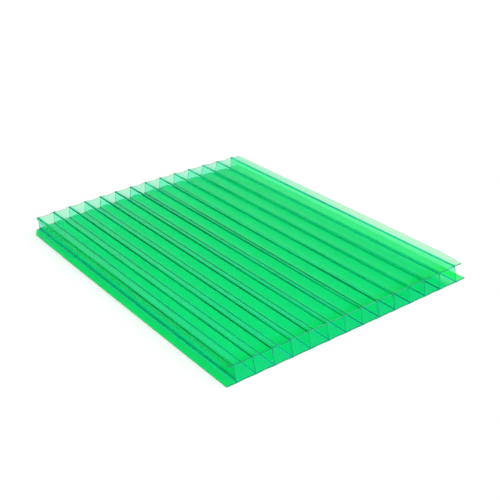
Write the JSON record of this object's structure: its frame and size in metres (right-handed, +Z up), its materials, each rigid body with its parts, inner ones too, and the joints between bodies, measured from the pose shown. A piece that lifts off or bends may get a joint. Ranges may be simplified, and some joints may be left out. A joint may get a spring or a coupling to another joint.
{
  "type": "twin-wall polycarbonate sheet",
  "caption": "Translucent green twin-wall polycarbonate sheet: thin skins joined by parallel ribs, flutes open at the cut ends, uneven sawn lips along the sides.",
  "frame": {"origin": "middle of the underside, on the surface that the sheet lies on", "axes": "+Y along the flutes, towards the back cut end; +X across the ribs; +Z up through the thickness"},
  "size_m": [0.1554, 0.21, 0.01],
  "materials": {
    "polycarbonate": "clear green tint, glossy extruded skins, matt sawn ends"
  },
  "bodies": {
    "root": {"twin_wall_sheet": "polycarbonate"}
  },
  "joints": []
}
